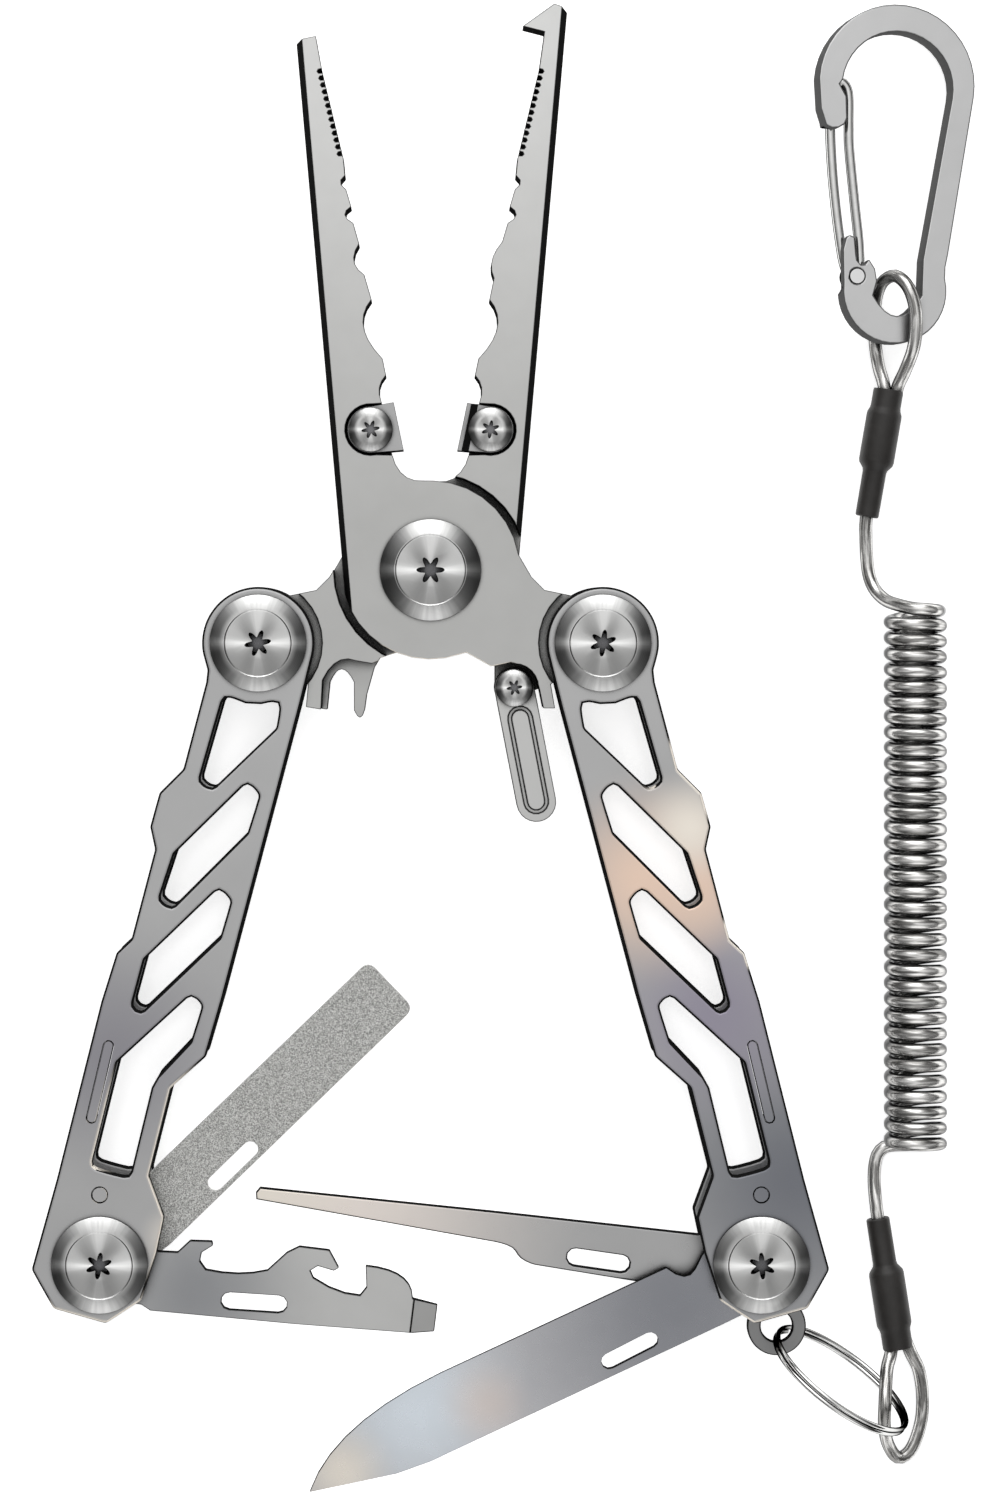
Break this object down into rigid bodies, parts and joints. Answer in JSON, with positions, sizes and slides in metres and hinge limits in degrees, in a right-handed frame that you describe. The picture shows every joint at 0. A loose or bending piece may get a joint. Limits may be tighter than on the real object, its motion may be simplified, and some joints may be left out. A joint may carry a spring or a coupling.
{
  "type": "folding fishing plier multi-tool",
  "caption": "Flat folding long-nose fishing pliers with cutters, a handle lock, file, opener, awl and knife in the handles, and a coiled lanyard with a wire-gate carabiner.",
  "frame": {"origin": "on the jaw pivot's axis, on the flat rear face of the pivot nut, which is the surface the tool lies on", "axes": "+X right, +Y along the open jaws, +Z out of the front faces, with the jaws and tools open as drawn"},
  "size_m": [0.1378, 0.2179, 0.0234],
  "materials": {
    "jaw_steel": "fine bead-blasted satin stainless steel",
    "handle_steel": "satin stainless steel",
    "screw_steel": "turned stainless steel with fine circular lines",
    "blade_steel": "fine satin stainless steel",
    "file_steel": "steel coated with fine grit",
    "dark_steel": "dark grey steel",
    "carbide": "ground hard metal",
    "chrome": "polished stainless wire",
    "carabiner_steel": "satin stainless steel",
    "coated_wire": "stainless wire rope in a clear glossy plastic coat",
    "heat_shrink": "matt black heat-shrink sleeve"
  },
  "bodies": {
    "front_jaw": {"front_jaw": "jaw_steel", "left_cutter": "carbide", "left_cutter_screw": "screw_steel", "main_pivot_screw": "screw_steel", "main_pivot_nut": "screw_steel", "lock_lever_screw": "screw_steel"},
    "back_jaw": {"back_jaw": "jaw_steel", "right_cutter": "carbide", "right_cutter_screw": "screw_steel"},
    "lock_lever": {"lock_lever": "jaw_steel"},
    "left_handle": {"left_front_plate": "handle_steel", "left_rear_plate": "handle_steel", "left_spacer_upper": "dark_steel", "left_spacer_lower": "dark_steel", "left_upper_pivot_screw": "screw_steel", "left_upper_pivot_nut": "screw_steel", "left_lower_pivot_screw": "screw_steel", "left_lower_pivot_nut": "screw_steel", "left_key_bar": "handle_steel", "left_plate_pin": "handle_steel", "left_washer_rear": "dark_steel", "left_washer_middle": "dark_steel"},
    "right_handle": {"right_front_plate": "handle_steel", "right_rear_plate": "handle_steel", "right_spacer_upper": "dark_steel", "right_spacer_lower": "dark_steel", "right_upper_pivot_screw": "screw_steel", "right_upper_pivot_nut": "screw_steel", "right_lower_pivot_screw": "screw_steel", "right_lower_pivot_nut": "screw_steel", "right_key_bar": "handle_steel", "right_plate_pin": "handle_steel", "right_washer_front": "dark_steel"},
    "file": {"file": "file_steel"},
    "opener": {"opener": "blade_steel"},
    "awl": {"awl": "blade_steel"},
    "knife": {"knife": "blade_steel"},
    "lanyard_tab": {"lanyard_tab": "dark_steel"},
    "lanyard_lower": {"split_ring": "chrome", "cord_bottom_loop": "coated_wire", "bottom_sleeve": "heat_shrink", "cord_bottom_lead": "coated_wire", "lanyard_coil": "coated_wire"},
    "lanyard_upper": {"cord_top_lead": "coated_wire", "top_sleeve": "heat_shrink", "cord_top_loop": "coated_wire"},
    "carabiner": {"carabiner_body": "carabiner_steel", "gate_rivet": "chrome"},
    "carabiner_gate": {"carabiner_gate": "chrome"}
  },
  "joints": [
    {"name": "jaw_pivot", "type": "hinge", "parent": "front_jaw", "child": "back_jaw", "pos_m": [0, 0, 0.0071], "axis": [0, 0, 1], "range_deg": [-8, 23.4]},
    {"name": "lock_lever_swing", "type": "hinge", "parent": "front_jaw", "child": "lock_lever", "pos_m": [0.0122, -0.0171, 0.0086], "axis": [0, 0, 1], "range_deg": [-90.5, 0]},
    {"name": "left_handle_fold", "type": "hinge", "parent": "back_jaw", "child": "left_handle", "pos_m": [-0.025, -0.0106, 0.0071], "axis": [0, 0, -1], "range_deg": [0, 160]},
    {"name": "right_handle_fold", "type": "hinge", "parent": "front_jaw", "child": "right_handle", "pos_m": [0.025, -0.0106, 0.0071], "axis": [0, 0, 1], "range_deg": [0, 160]},
    {"name": "file_fold", "type": "hinge", "parent": "left_handle", "child": "file", "pos_m": [-0.04797, -0.10072, 0.0081], "axis": [0, 0, -1], "range_deg": [-31.9, 148.1]},
    {"name": "opener_fold", "type": "hinge", "parent": "left_handle", "child": "opener", "pos_m": [-0.04797, -0.10072, 0.00995], "axis": [0, 0, -1], "range_deg": [-82.7, 97.3]},
    {"name": "awl_fold", "type": "hinge", "parent": "right_handle", "child": "awl", "pos_m": [0.04797, -0.10072, 0.0043], "axis": [0, 0, -1], "range_deg": [-92, 67.5]},
    {"name": "knife_fold", "type": "hinge", "parent": "right_handle", "child": "knife", "pos_m": [0.04797, -0.10072, 0.0062], "axis": [0, 0, -1], "range_deg": [-40, 102.9]},
    {"name": "tab_swing", "type": "hinge", "parent": "right_handle", "child": "lanyard_tab", "pos_m": [0.04797, -0.10072, 0.0081], "axis": [0, 0, -1], "range_deg": [-6, 40]},
    {"name": "lanyard_swing", "type": "hinge", "parent": "lanyard_tab", "child": "lanyard_lower", "pos_m": [0.05042, -0.11031, 0.0081], "axis": [0, 0, 1], "range_deg": [-80, 0]},
    {"name": "lanyard_stretch", "type": "slide", "parent": "lanyard_lower", "child": "lanyard_upper", "axis": [0, 1, 0], "range_m": [0, 0.5], "stiffness_N_per_m": 8, "deforming": ["lanyard_coil"]},
    {"name": "carabiner_swing", "type": "hinge", "parent": "lanyard_upper", "child": "carabiner", "pos_m": [0.06867, 0.0354, 0.00372], "axis": [0.1392, 0, 0.9903], "range_deg": [-4, 15]},
    {"name": "gate_open", "type": "hinge", "parent": "carabiner", "child": "carabiner_gate", "pos_m": [0.06209, 0.0431, 0.00363], "axis": [0.1392, 0, 0.9903], "range_deg": [-25, 0], "stiffness_Nm_per_rad": 0.02, "springref_deg": 5.73}
  ],
  "couplings": [
    {"joint": "lanyard_swing", "follows": "right_handle_fold", "ratio": -0.5}
  ]
}
